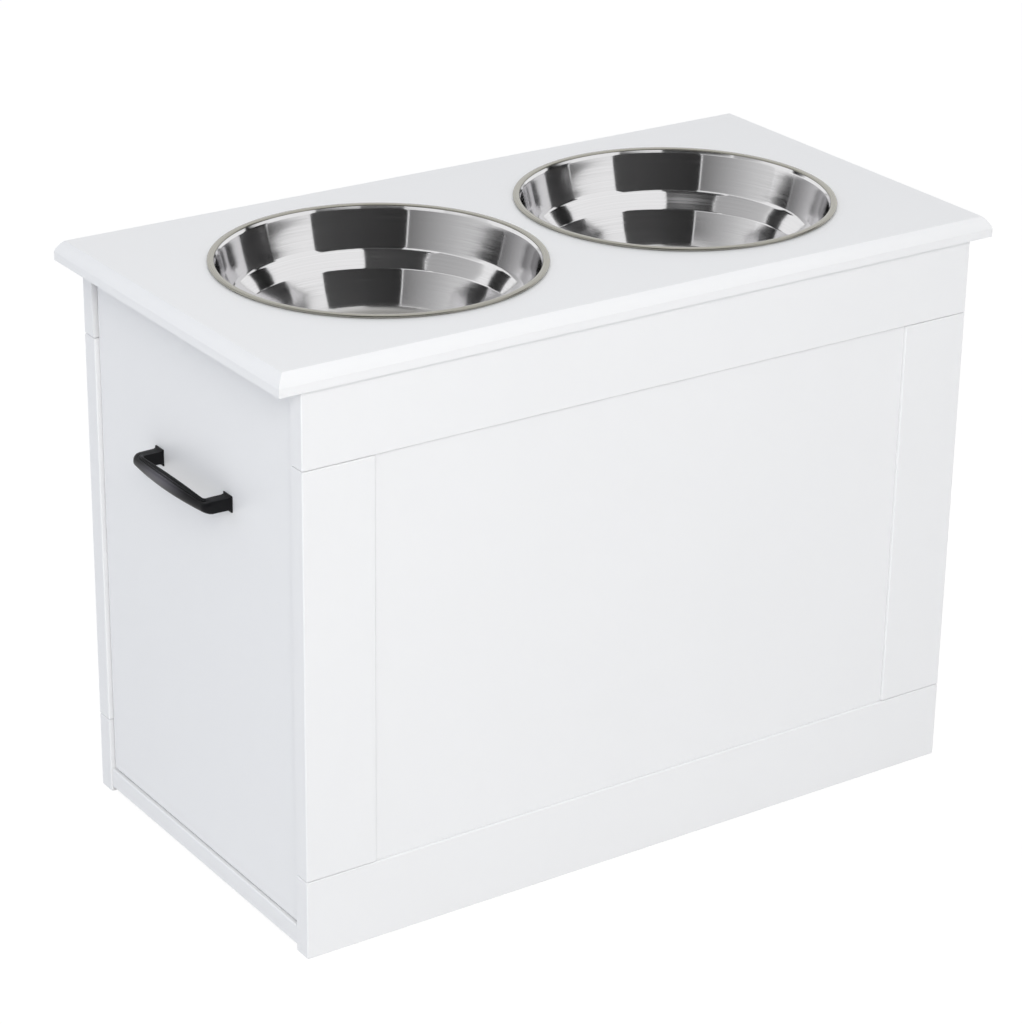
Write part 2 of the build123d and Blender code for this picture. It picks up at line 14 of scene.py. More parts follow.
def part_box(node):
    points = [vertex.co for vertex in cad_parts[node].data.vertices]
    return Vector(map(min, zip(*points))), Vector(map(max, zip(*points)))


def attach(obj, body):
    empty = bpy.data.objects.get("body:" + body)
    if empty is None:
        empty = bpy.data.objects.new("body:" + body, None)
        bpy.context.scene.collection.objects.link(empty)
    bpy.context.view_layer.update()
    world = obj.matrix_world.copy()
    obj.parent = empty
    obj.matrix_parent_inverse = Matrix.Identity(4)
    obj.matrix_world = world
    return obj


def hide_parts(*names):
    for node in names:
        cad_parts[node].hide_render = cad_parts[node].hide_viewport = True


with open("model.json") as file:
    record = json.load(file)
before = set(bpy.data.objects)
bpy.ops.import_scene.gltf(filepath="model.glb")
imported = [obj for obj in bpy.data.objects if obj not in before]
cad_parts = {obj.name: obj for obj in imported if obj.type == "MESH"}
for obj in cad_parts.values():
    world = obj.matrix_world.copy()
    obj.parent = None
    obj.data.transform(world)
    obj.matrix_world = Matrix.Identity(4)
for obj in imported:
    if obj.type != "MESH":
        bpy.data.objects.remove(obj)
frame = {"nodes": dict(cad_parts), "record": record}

log = logging.getLogger("feeder")

Node = bpy.types.Node
Socket = bpy.types.NodeSocket

MM = 0.001


class Side(Enum):
    """Ends of the cabinet, named as seen from the panelled front."""

    LEFT = "left"
    RIGHT = "right"


# ---- shader helpers -----------------------------------------------------------------------------
class Graph:
    """Places and joins nodes in one shader tree."""

    def __init__(self, tree: bpy.types.NodeTree) -> None:
        """Keep the tree that the nodes go into."""
        self.tree = tree

    def add(self, kind: str, **values: object) -> Node:
        """Place a node.

        Args:
            kind: the node's type name, without the ShaderNode prefix.
            values: input sockets, by name with spaces as underscores, or the node's settings in
                lower case.

        Returns:
            The new node.
        """
        node = self.tree.nodes.new("ShaderNode" + kind)
        for name, value in values.items():
            socket = name.replace("_", " ")
            if name[0].isupper() and socket in node.inputs:
                node.inputs[socket].default_value = value
            else:
                setattr(node, name, value)
        return node

    def link(self, source: Socket, target: Socket) -> None:
        """Join an output socket to an input socket."""
        self.tree.links.new(source, target)


def shared_group(
    name: str, inputs: dict[str, float], outputs: tuple[str, ...]
) -> tuple[bpy.types.NodeTree, Graph, Node, Node]:
    """Start a node group that several finishes place.

    Args:
        name: the group's name.
        inputs: float sockets with their usual values, beside the vector.
        outputs: names of the float sockets that it puts out.

    Returns:
        The group, a graph to fill it with, and its inlet and outlet.
    """
    tree = bpy.data.node_groups.new(name, "ShaderNodeTree")
    tree.interface.new_socket("Vector", in_out="INPUT", socket_type="NodeSocketVector")
    for label, value in inputs.items():
        socket = tree.interface.new_socket(label, in_out="INPUT", socket_type="NodeSocketFloat")
        socket.default_value = value
    for label in outputs:
        tree.interface.new_socket(label, in_out="OUTPUT", socket_type="NodeSocketFloat")
    return tree, Graph(tree), tree.nodes.new("NodeGroupInput"), tree.nodes.new("NodeGroupOutput")


SPECK_SCALE = 260.0
SPECK_SIZE = 0.06
SPECK_HEIGHT = 0.6


def lacquer_group() -> bpy.types.NodeTree:
    """Sprayed film: fine orange peel over slow clouds, with a few raised specks.

    Returns:
        A group that puts out Cloud, from 0 to 1, and the film's Height.
    """
    tree, graph, inlet, outlet = shared_group(
        "sprayed_film", {"Peel": 700.0, "Cloud": 9.0}, ("Cloud", "Height")
    )
    peel = graph.add("TexNoise", Detail=2.0, Roughness=0.45)
    specks = graph.add("TexVoronoi", Scale=SPECK_SCALE)
    few = graph.add("Math", operation="LESS_THAN")
    few.inputs[1].default_value = SPECK_SIZE
    lift = graph.add("Math", operation="MULTIPLY_ADD")
    lift.inputs[1].default_value = SPECK_HEIGHT
    cloud = graph.add("TexNoise", Detail=3.0, Roughness=0.55)
    for texture in (peel, specks, cloud):
        graph.link(inlet.outputs["Vector"], texture.inputs["Vector"])
    graph.link(inlet.outputs["Peel"], peel.inputs["Scale"])
    graph.link(inlet.outputs["Cloud"], cloud.inputs["Scale"])
    graph.link(specks.outputs["Distance"], few.inputs[0])
    graph.link(few.outputs["Value"], lift.inputs[0])
    graph.link(peel.outputs["Fac"], lift.inputs[2])
    graph.link(lift.outputs["Value"], outlet.inputs["Height"])
    graph.link(cloud.outputs["Fac"], outlet.inputs["Cloud"])
    return tree


SCRATCHES_ROUND = 14.0
BANDS_ROUND = 3.0


def brushing_group() -> bpy.types.NodeTree:
    """Fine parallel scratches along the vector's X, crossed by slow bands.

    Returns:
        A group that puts out Streak, from 0 to 1, and the scratches' Height.
    """
    tree, graph, inlet, outlet = shared_group(
        "fine_brushing", {"Lines": 1500.0, "Bands": 900.0}, ("Streak", "Height")
    )
    split = graph.add("SeparateXYZ")
    graph.link(inlet.outputs["Vector"], split.inputs["Vector"])
    for source, target, along in (
        ("Lines", "Height", SCRATCHES_ROUND), ("Bands", "Streak", BANDS_ROUND)
    ):
        run = graph.add("Math", operation="MULTIPLY")
        run.inputs[1].default_value = along
        across = graph.add("Math", operation="MULTIPLY")
        joined = graph.add("CombineXYZ")
        noise = graph.add("TexNoise", Scale=1.0, Detail=3.0, Roughness=0.6)
        graph.link(split.outputs["X"], run.inputs[0])
        graph.link(split.outputs["Y"], across.inputs[0])
        graph.link(inlet.outputs[source], across.inputs[1])
        graph.link(run.outputs["Value"], joined.inputs["X"])
        graph.link(across.outputs["Value"], joined.inputs["Y"])
        graph.link(joined.outputs["Vector"], noise.inputs["Vector"])
        graph.link(noise.outputs["Fac"], outlet.inputs[target])
    return tree


PORE_SCALE = 1500.0


def grain_group() -> bpy.types.NodeTree:
    """Pores and growth rings of a fine hardwood.

    Returns:
        A group that puts out Ring and Height, from 0 to 1.
    """
    tree, graph, inlet, outlet = shared_group(
        "hardwood_grain", {"Rings": 320.0}, ("Ring", "Height")
    )
    wave = graph.add("TexWave", Distortion=5.0, Detail=2.0)
    pores = graph.add("TexNoise", Scale=PORE_SCALE, Detail=2.0)
    for texture in (wave, pores):
        graph.link(inlet.outputs["Vector"], texture.inputs["Vector"])
    graph.link(inlet.outputs["Rings"], wave.inputs["Scale"])
    graph.link(wave.outputs["Fac"], outlet.inputs["Ring"])
    graph.link(pores.outputs["Fac"], outlet.inputs["Height"])
    return tree


class Groups:
    """The shared node groups, each built once."""

    lacquer = lacquer_group()
    brushing = brushing_group()
    grain = grain_group()


def start_material(name: str) -> tuple[bpy.types.Material, Graph]:
    """Make an empty material.

    Args:
        name: the material's name.

    Returns:
        The material and its graph.
    """
    material = bpy.data.materials.new(name)
    material.use_nodes = True
    material.node_tree.nodes.clear()
    return material, Graph(material.node_tree)


def close_material(graph: Graph, shader: Socket) -> None:
    """Join a shader to the material's surface."""
    graph.link(shader, graph.add("OutputMaterial").inputs["Surface"])


def mix_shaders(graph: Graph, mask: Socket, first: Socket, second: Socket) -> Socket:
    """Mix two shaders by a mask.

    Args:
        graph: the material's or world's graph.
        mask: 0 for the first shader and 1 for the second.
        first: a shader.
        second: another one.

    Returns:
        The mixed shader.
    """
    mix = graph.add("MixShader")
    graph.link(mask, mix.inputs["Fac"])
    graph.link(first, mix.inputs[1])
    graph.link(second, mix.inputs[2])
    return mix.outputs["Shader"]


def place_group(graph: Graph, tree: bpy.types.NodeTree, source: str, **values: float) -> Node:
    """Place a shared group and give it coordinates.

    Args:
        graph: the material's graph.
        tree: the shared group.
        source: the coordinate output to read, Object or UV.
        values: the group's own inputs.

    Returns:
        The group node.
    """
    node = graph.add("Group", node_tree=tree)
    for name, value in values.items():
        node.inputs[name].default_value = value
    graph.link(graph.add("TexCoord").outputs[source], node.inputs["Vector"])
    return node


def blend_colours(graph: Graph, mask: Socket, low: tuple, high: tuple | Socket) -> Socket:
    """Blend two colours by a mask from 0 to 1.

    Args:
        graph: the material's graph.
        mask: the mask.
        low: the colour at 0.
        high: the colour at 1, or a socket that gives it.

    Returns:
        The blended colour.
    """
    blend = graph.add("Mix", data_type="RGBA")
    factor, first, second = blend.inputs[0], blend.inputs[6], blend.inputs[7]
    first.default_value = (*low, 1.0)
    if isinstance(high, tuple):
        second.default_value = (*high, 1.0)
    else:
        graph.link(high, second)
    graph.link(mask, factor)
    return blend.outputs[2]


def shade(colour: tuple, factor: float) -> tuple:
    """A colour times a factor."""
    return tuple(part * factor for part in colour)


# ---- finishes -----------------------------------------------------------------------------------
@dataclass(frozen=True)
class Finish:
    """What finishes share: how far a mask moves colour and gloss, and how deep the relief is."""

    name: str
    colour: tuple
    roughness: float = 0.4
    dark: float = 0.95
    light: float = 1.0
    smoother: float = 0.05
    rougher: float = 0.06
    bump: float = 0.1
    relief: float = 0.03 * MM

    def start(self) -> tuple[bpy.types.Material, Graph, Node]:
        """Make the material with its one Principled shader.

        Returns:
            The material, its graph and the shader node.
        """
        material, graph = start_material(self.name)
        shader = graph.add("BsdfPrincipled")
        close_material(graph, shader.outputs["BSDF"])
        return material, graph, shader

    def tint(self, graph: Graph, shader: Node, mask: Socket) -> None:
        """Let a mask from 0 to 1 move the colour."""
        low, high = shade(self.colour, self.dark), shade(self.colour, self.light)
        graph.link(blend_colours(graph, mask, low, high), shader.inputs["Base Color"])

    def polish(self, graph: Graph, shader: Node, mask: Socket) -> None:
        """Let a mask from 0 to 1 move the roughness.

        Args:
            graph: the material's graph.
            shader: its Principled shader.
            mask: the mask.
        """
        low, high = self.roughness - self.smoother, self.roughness + self.rougher
        spread = graph.add("MapRange", To_Min=low, To_Max=high)
        graph.link(mask, spread.inputs["Value"])
        graph.link(spread.outputs["Result"], shader.inputs["Roughness"])

    def raise_relief(self, graph: Graph, shader: Node, height: Socket) -> None:
        """Turn a height into the finish's relief.

        Args:
            graph: the material's graph.
            shader: its Principled shader.
            height: the height.
        """
        bump = graph.add("Bump", Strength=self.bump, Distance=self.relief)
        graph.link(height, bump.inputs["Height"])
        graph.link(bump.outputs["Normal"], shader.inputs["Normal"])


@dataclass(frozen=True)
class Paint(Finish):
    """Sprayed satin lacquer or foil on board."""

    roughness: float = 0.42
    dark: float = 0.985
    light: float = 1.01
    rougher: float = 0.07
    bump: float = 0.05
    relief: float = 0.05 * MM
    peel: float = 700.0
    coat: float = 0.12
    coat_roughness: float = 0.3

    def material(self) -> bpy.types.Material:
        """Build the finish.

        Returns:
            The material.
        """
        material, graph, shader = self.start()
        film = place_group(graph, Groups.lacquer, "Object", Peel=self.peel)
        self.tint(graph, shader, film.outputs["Cloud"])
        self.polish(graph, shader, film.outputs["Cloud"])
        self.raise_relief(graph, shader, film.outputs["Height"])
        shader.inputs["Coat Weight"].default_value = self.coat
        shader.inputs["Coat Roughness"].default_value = self.coat_roughness
        return material


@dataclass(frozen=True)
class SpunSteel(Finish):
    """Stainless steel with a lathe finish, whose lines follow the piece's own UV map."""

    roughness: float = 0.09
    bump: float = 0.05
    relief: float = 0.02 * MM
    anisotropy: float = 0.8
    quarter_turn: float = 0.25
    dark: float = 0.84
    streak_ends: tuple = (0.3, 0.7)
    streak_roughness: tuple = (1.5, 0.7)
    floor_radius: float = 82.0 * MM
    floor_edge: float = 13.0 * MM
    floor_roughness: float = 0.48
    # The satin floor's darker olive colour is painted reflection.
    painted_floor_reflection: tuple = (0.47, 0.46, 0.44)

    def material(self) -> bpy.types.Material:
        """Build the finish: streaked, polished wall; satin floor of painted olive reflection.

        Returns:
            The material.
        """
        material, graph, shader = self.start()
        lines = place_group(graph, Groups.brushing, "UV")
        streak, wall = lines.outputs["Streak"], self.wall_mask(graph)
        streaked = blend_colours(graph, streak, shade(self.colour, self.dark), self.colour)
        # Painted reflection: a darker olive colour on the satin floor.
        colour = blend_colours(graph, wall, self.painted_floor_reflection, streaked)
        graph.link(colour, shader.inputs["Base Color"])
        worn = graph.add(
            "MapRange", From_Min=self.streak_ends[0], From_Max=self.streak_ends[1],
            To_Min=self.roughness * self.streak_roughness[0],
            To_Max=self.roughness * self.streak_roughness[1],
        )
        satin = graph.add("Mix", data_type="FLOAT")
        factor, first, second = satin.inputs[0], satin.inputs[2], satin.inputs[3]
        first.default_value = self.floor_roughness
        graph.link(streak, worn.inputs["Value"])
        graph.link(wall, factor)
        graph.link(worn.outputs["Result"], second)
        graph.link(satin.outputs[0], shader.inputs["Roughness"])
        self.raise_relief(graph, shader, lines.outputs["Height"])
        shader.inputs["Metallic"].default_value = 1.0
        shader.inputs["Anisotropic"].default_value = self.anisotropy
        shader.inputs["Anisotropic Rotation"].default_value = self.quarter_turn
        tangent = graph.add("Tangent", direction_type="UV_MAP")
        graph.link(tangent.outputs["Tangent"], shader.inputs["Tangent"])
        return material

    def wall_mask(self, graph: Graph) -> Socket:
        """A mask that is 0 on the satin floor and 1 on the wall; it sets the painted reflection.

        Args:
            graph: the material's graph.

        Returns:
            The mask.
        """
        place = graph.add("TexCoord")
        split = graph.add("SeparateXYZ")
        edge = graph.add(
            "MapRange", interpolation_type="SMOOTHSTEP",
            From_Min=self.floor_radius, From_Max=self.floor_radius + self.floor_edge,
        )
        graph.link(place.outputs["UV"], split.inputs["Vector"])
        graph.link(split.outputs["Y"], edge.inputs["Value"])
        return edge.outputs["Result"]


@dataclass(frozen=True)
class PlatedMetal(Finish):
    """Dull plated or die-cast metal on small hardware."""

    dark: float = 0.85
    light: float = 1.08
    smoother: float = 0.08
    rougher: float = 0.1
    bump: float = 0.15
    metallic: float = 1.0
    texture: float = 1500.0
    cloud: float = 120.0

    def material(self) -> bpy.types.Material:
        """Build the finish.

        Returns:
            The material.
        """
        material, graph, shader = self.start()
        film = place_group(graph, Groups.lacquer, "Object", Peel=self.texture, Cloud=self.cloud)
        self.tint(graph, shader, film.outputs["Cloud"])
        self.polish(graph, shader, film.outputs["Cloud"])
        self.raise_relief(graph, shader, film.outputs["Height"])
        shader.inputs["Metallic"].default_value = self.metallic
        return material


@dataclass(frozen=True)
class CastLacquer(Finish):
    """Black lacquer on a casting, with a painted highlight: a lighter, coated patch on the grip's
    face.
    """

    roughness: float = 0.32
    smoother: float = 0.08
    rougher: float = 0.1
    gloss: float = 0.14
    texture: float = 2200.0
    cloud: float = 120.0
    # The painted highlight: a lighter colour and a coat in a soft patch on the grip's face.
    painted_sheen_colour: tuple = (0.052, 0.048, 0.066)
    painted_sheen_coat_roughness: float = 0.35
    painted_sheen_place: tuple = (-303.5 * MM, 9.0 * MM, 308.5 * MM)
    painted_sheen_size: tuple = (7.2 * MM, 44.0 * MM, 7.2 * MM)

    def material(self) -> bpy.types.Material:
        """Build the finish.

        Returns:
            The material.
        """
        material, graph, shader = self.start()
        film = place_group(graph, Groups.lacquer, "Object", Peel=self.texture, Cloud=self.cloud)
        # Painted highlight: the mask lightens the colour and adds a coat on the grip's face.
        painted_sheen = self.painted_sheen_mask(graph)
        colour = blend_colours(graph, painted_sheen, self.colour, self.painted_sheen_colour)
        graph.link(colour, shader.inputs["Base Color"])
        graph.link(painted_sheen, shader.inputs["Coat Weight"])
        self.polish(graph, shader, film.outputs["Cloud"])
        self.raise_relief(graph, shader, film.outputs["Height"])
        shader.inputs["Coat Roughness"].default_value = self.painted_sheen_coat_roughness
        shader.inputs["Specular IOR Level"].default_value = self.gloss
        return material

    def painted_sheen_mask(self, graph: Graph) -> Socket:
        """A soft mask that is 1 in the middle of the painted highlight on the grip's face and 0
        outside it.

        Args:
            graph: the material's graph.

        Returns:
            The mask.
        """
        centred = graph.add(
            "Mapping", vector_type="TEXTURE", Location=self.painted_sheen_place, Scale=self.painted_sheen_size
        )
        ball = graph.add("TexGradient", gradient_type="SPHERICAL")
        soft = graph.add("MapRange", interpolation_type="SMOOTHSTEP")
        graph.link(graph.add("TexCoord").outputs["Object"], centred.inputs["Vector"])
        graph.link(centred.outputs["Vector"], ball.inputs["Vector"])
        graph.link(ball.outputs["Fac"], soft.inputs["Value"])
        return soft.outputs["Result"]


@dataclass(frozen=True)
class Moulded(Finish):
    """Moulded nylon."""

    roughness: float = 0.35
    smoother: float = 0.04
    bump: float = 0.08
    texture: float = 2500.0
    cloud: float = 60.0
    glow: float = 0.08
    glow_depth: float = 1.5 * MM

    def material(self) -> bpy.types.Material:
        """Build the finish.

        Returns:
            The material.
        """
        material, graph, shader = self.start()
        film = place_group(graph, Groups.lacquer, "Object", Peel=self.texture, Cloud=self.cloud)
        self.tint(graph, shader, film.outputs["Cloud"])
        self.polish(graph, shader, film.outputs["Cloud"])
        self.raise_relief(graph, shader, film.outputs["Height"])
        shader.inputs["Subsurface Weight"].default_value = self.glow
        shader.inputs["Subsurface Scale"].default_value = self.glow_depth
        return material


@dataclass(frozen=True)
class BareWood(Finish):
    """Unfinished beech."""

    roughness: float = 0.65
    dark: float = 0.82
    smoother: float = 0.06
    bump: float = 0.2
    relief: float = 0.05 * MM

    def material(self) -> bpy.types.Material:
        """Build the finish.

        Returns:
            The material.
        """
        material, graph, shader = self.start()
        grain = place_group(graph, Groups.grain, "Object")
        self.tint(graph, shader, grain.outputs["Ring"])
        self.polish(graph, shader, grain.outputs["Ring"])
        self.raise_relief(graph, shader, grain.outputs["Height"])
        return material


WHITE = (0.850, 0.852, 0.860)
SLOT_FINISHES = (
    Paint("white_paint", WHITE),
    Paint("lid_paint", WHITE, roughness=0.36, coat=0.18),
    Paint("end_paint", WHITE, roughness=0.40),
    Paint("base_paint", WHITE, roughness=0.44),
    Paint("panel_paint", WHITE, roughness=0.45, peel=850.0),
    Paint("drawer_paint", (0.82, 0.82, 0.82), roughness=0.52, coat=0.0),
    Paint("drawer_base", (0.80, 0.80, 0.79), roughness=0.55, coat=0.0),
    BareWood("beech", (0.62, 0.44, 0.27)),
    PlatedMetal("zinc_alloy", (0.60, 0.60, 0.61), roughness=0.45),
    PlatedMetal("screw_steel", (0.58, 0.58, 0.60), roughness=0.32),
    PlatedMetal("pin_steel", (0.60, 0.60, 0.61), roughness=0.3),
    PlatedMetal("slide_steel", (0.78, 0.78, 0.77), roughness=0.42, metallic=0.0, texture=2600.0),
    Moulded("nylon", (0.84, 0.84, 0.82)),
    CastLacquer("black_cast", (0.006, 0.006, 0.007)),
    SpunSteel("bowl_steel", (0.83, 0.825, 0.835)),
)
# The rolled rim's darker olive colour is painted reflection.
RIM_STEEL_PAINTED_REFLECTION = SpunSteel("rim_steel_painted_reflection", (0.40, 0.39, 0.345), roughness=0.22, anisotropy=0.3)


def dress_by_slot() -> dict[str, bpy.types.Material]:
    """Give every CAD node the finish of its slot in the record.

    Returns:
        The materials by slot name.
    """
    materials = {finish.name: finish.material() for finish in SLOT_FINISHES}
    for part in frame["record"]["subparts"]:
        for slot in frame["nodes"][part["node"]].material_slots:
            slot.material = materials[part["material_slot"]]
        log.info("%s: %s", part["node"], part["material_slot"])
    return materials


CREASE = math.radians(38)


def finish_piece(
    bm: bmesh.types.BMesh, name: str, materials: tuple[bpy.types.Material, ...]
) -> bpy.types.Object:
    """Close a bmesh off into a smooth piece, creased at its corners, whose place is in its mesh.

    Args:
        bm: the shape; it is freed.
        name: the piece's name.
        materials: its materials, in slot order.

    Returns:
        The new object.
    """
    bmesh.ops.recalc_face_normals(bm, faces=bm.faces)
    for face in bm.faces:
        face.smooth = True
    for edge in bm.edges:
        edge.smooth = not edge.is_manifold or edge.calc_face_angle() < CREASE
    mesh = bpy.data.meshes.new(name)
    bm.to_mesh(mesh)
    bm.free()
    for material in materials:
        mesh.materials.append(material)
    piece = bpy.data.objects.new(name, mesh)
    bpy.context.scene.collection.objects.link(piece)
    log.info("%s: %d faces", name, len(mesh.polygons))
    return piece


# ---- bowls --------------------------------------------------------------------------------------
@dataclass
class Bowl:
    """A spun bowl: rolled rim, tapered wall, sloping shoulder, lower wall and rounded floor."""

    side: Side
    wall: float = 0.8 * MM
    rim_width: float = 4.9 * MM
    rim_thickness: float = 2.0 * MM
    seat_gap: float = 0.3 * MM
    upper_depth: float = 28.5 * MM
    upper_taper: float = 8.0 * MM
    belly_depth: float = 14.5 * MM
    belly_taper: float = 3.3 * MM
    shoulder_width: float = 9.8 * MM
    shoulder_drop: float = 12.0 * MM
    lower_taper: float = 11.9 * MM
    lip_depth: float = 2.4 * MM
    lip_flare: float = 1.0 * MM
    belly_round: float = 250.0 * MM
    waist_round: float = 9.0 * MM
    hip_round: float = 3.0 * MM
    floor_round: float = 9.0 * MM
    lip_round: float = 2.0 * MM
    lip_lead: float = 1 / 3
    corner_segments: int = 7
    rim_segments: int = 20
    turns: int = 160
    same_point: float = 0.005 * MM
    pole: float = 0.1 * MM

    def __post_init__(self) -> None:
        """Take the bowl's place from its CAD node."""
        self.node = "bowl_" + self.side.value
        low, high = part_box(self.node)
        self.centre = Vector(((low.x + high.x) / 2, (low.y + high.y) / 2, 0.0))
        self.rim_radius = (high.x - low.x) / 2
        self.rim_height = high.z - self.rim_thickness / 2
        self.floor = low.z + self.wall

    def corners(self) -> tuple[list[tuple[float, float]], list[float]]:
        """Radius and height of the outer face's corners, from the floor's middle to the rim.

        Returns:
            The corners and the rounding at each.
        """
        top = self.rim_radius - self.rim_width
        waist = top - self.upper_taper
        hip = waist - self.shoulder_width
        waist_z = self.rim_height - self.rim_thickness / 2 - self.seat_gap - self.upper_depth
        hip_z = waist_z - self.shoulder_drop
        points = [
            (0.0, self.floor),
            (hip - self.lower_taper, self.floor),
            (hip, hip_z),
            (waist, waist_z),
            (top - self.belly_taper, self.rim_height - self.belly_depth),
            (top - self.lip_flare * self.lip_lead, self.rim_height - self.lip_depth),
            (top + self.lip_flare, self.rim_height),
        ]
        rounds = [
            0.0, self.floor_round, self.hip_round, self.waist_round, self.belly_round,
            self.lip_round, 0.0,
        ]
        return points, rounds

    def build(self, steel: bpy.types.Material, rim: bpy.types.Material) -> bpy.types.Object:
        """Model the bowl and put it in its CAD node's place.

        Args:
            steel: finish of the walls and floor.
            rim: the rolled rim's steel, whose darker olive colour is painted reflection.

        Returns:
            The piece.
        """
        bm = bmesh.new()
        points, rounds = self.corners()
        chain = [bm.verts.new(self.centre + Vector((out, 0, height))) for out, height in points]
        for first, second in zip(chain, chain[1:]):
            bm.edges.new((first, second))
        for vertex, radius in zip(chain, rounds):
            if radius:
                self.round_corner(bm, vertex, radius)
        bmesh.ops.subdivide_edges(bm, edges=bm.edges[:], cuts=1)
        bmesh.ops.spin(
            bm, geom=bm.verts[:] + bm.edges[:], cent=self.centre, axis=(0, 0, 1), dvec=(0, 0, 0),
            angle=math.tau, steps=self.turns, use_merge=True, use_duplicate=False,
        )
        bmesh.ops.remove_doubles(bm, verts=bm.verts, dist=self.same_point)
        bmesh.ops.recalc_face_normals(bm, faces=bm.faces)
        self.face_out(bm)
        bmesh.ops.solidify(bm, geom=bm.faces[:], thickness=self.wall)
        inner_faces = set(bm.faces)
        self.roll_rim(bm)
        for face in bm.faces:
            face.material_index = 0 if face in inner_faces else 1
        self.lay_lines(bm)
        piece = finish_piece(bm, self.node + "_spun", (steel, rim))
        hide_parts(self.node)
        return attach(piece, self.node)

    def round_corner(
        self, bm: bmesh.types.BMesh, vertex: bmesh.types.BMVert, radius: float
    ) -> None:
        """Turn one corner of the profile into an arc.

        Args:
            bm: the profile.
            vertex: its corner.
            radius: the arc's radius.
        """
        arms = [edge.other_vert(vertex).co - vertex.co for edge in vertex.link_edges]
        half_turn = (math.pi - arms[0].angle(arms[1])) / 2
        bmesh.ops.bevel(
            bm, geom=[vertex], offset=radius * math.tan(half_turn), offset_type="OFFSET",
            affect="VERTICES", segments=self.corner_segments, profile=0.5, material=-1,
        )

    def face_out(self, bm: bmesh.types.BMesh) -> None:
        """Point the shell's faces outwards, so that the wall grows to the inside.

        Args:
            bm: the shell, one face thick.
        """
        middle = self.centre
        floor_face = min(bm.faces, key=lambda face: (face.calc_center_median() - middle).xy.length)
        if floor_face.normal.z > 0:
            bmesh.ops.reverse_faces(bm, faces=bm.faces)

    def roll_rim(self, bm: bmesh.types.BMesh) -> None:
        """Roll the rim over the top of the wall: round at both edges and flat between them.

        Args:
            bm: the bowl's shell, which gets the rim.
        """
        middle = self.centre + Vector((self.rim_radius - self.rim_width / 2, 0, self.rim_height))
        upright = Matrix.Translation(middle) @ Matrix.Rotation(math.pi / 2, 4, "X")
        ring = bmesh.ops.create_circle(
            bm, segments=self.rim_segments, radius=self.rim_thickness / 2, matrix=upright
        )["verts"]
        spread = (self.rim_width - self.rim_thickness) / 2
        for way in (-1, 1):
            edge = [vertex for vertex in ring if way * (vertex.co.x - middle.x) > self.same_point]
            bmesh.ops.translate(bm, verts=edge, vec=(way * spread, 0, 0))
        edges = list({edge for vertex in ring for edge in vertex.link_edges})
        bmesh.ops.spin(
            bm, geom=ring + edges, cent=self.centre, axis=(0, 0, 1), dvec=(0, 0, 0),
            angle=math.tau, steps=self.turns, use_merge=True, use_duplicate=False,
        )

    def lay_lines(self, bm: bmesh.types.BMesh) -> None:
        """Lay the UV map: U once round the bowl, V in metres from its middle out and up its wall.

        Args:
            bm: the finished bowl.
        """
        layer = bm.loops.layers.uv.new("lathe")
        for face in bm.faces:
            middle = face.calc_center_median() - self.centre
            heading = math.atan2(middle.y, middle.x)
            for loop in face.loops:
                spot = loop.vert.co - self.centre
                turn = math.atan2(spot.y, spot.x) if spot.xy.length > self.pole else heading
                turn += math.tau * round((heading - turn) / math.tau)
                loop[layer].uv = (turn / math.tau, spot.xy.length + spot.z - self.floor)


